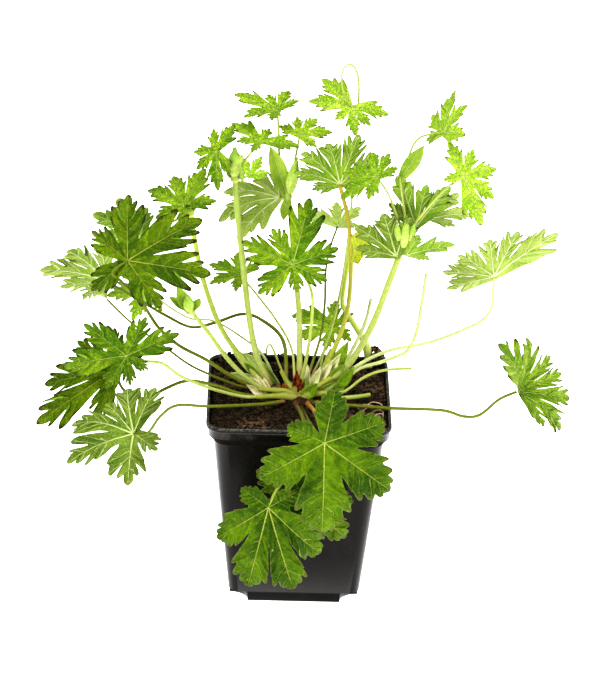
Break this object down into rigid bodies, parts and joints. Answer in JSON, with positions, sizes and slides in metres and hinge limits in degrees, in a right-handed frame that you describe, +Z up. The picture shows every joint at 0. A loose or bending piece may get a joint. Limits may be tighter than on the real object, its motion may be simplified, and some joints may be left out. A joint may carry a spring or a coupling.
{
  "type": "potted hardy geranium",
  "caption": "Square black nursery pot of compost with a young hardy geranium: long-stalked palmate toothed leaves and budding stems rising from a scaly rhizome.",
  "frame": {"origin": "middle of the underside of the pot's foot, on the surface that it stands on", "axes": "+Z up, the pot's sides face X and Y; -Y is the front, where two large leaves hang over the rim, and +X is to the right seen from there"},
  "size_m": [0.2606, 0.1359, 0.2537],
  "materials": {
    "pot": "satin",
    "soil": "matte",
    "rhizome": "matte",
    "leaf": "satin",
    "stem": "satin"
  },
  "bodies": {
    "root": {"pot": "pot", "soil": "soil", "rhizome": "rhizome", "leaf_front_large": "leaf", "leaf_front_low": "leaf", "leaf_front_under": "leaf", "leaf_left_low": "leaf", "leaf_left_mid": "leaf", "leaf_left_outer": "leaf", "leaf_left_high": "leaf", "leaf_left_far": "leaf", "leaf_left_pale": "leaf", "leaf_left_curled": "leaf", "leaf_mid_face": "leaf", "leaf_top_loop": "leaf", "leaf_back_small": "leaf", "leaf_mid_under": "leaf", "leaf_right_far": "leaf", "leaf_right_low": "leaf", "leaf_centre_dark": "leaf", "leaf_behind": "leaf", "leaf_back_left": "leaf", "leaf_back_right": "leaf", "stem_tall": "stem", "stem_middle": "stem", "stem_right": "stem", "stem_left": "stem", "stem_low": "stem", "stalk_bent_right": "stem", "stalk_withered": "stem", "stalk_cut": "stem", "stalk_thin": "stem"}
  },
  "joints": []
}
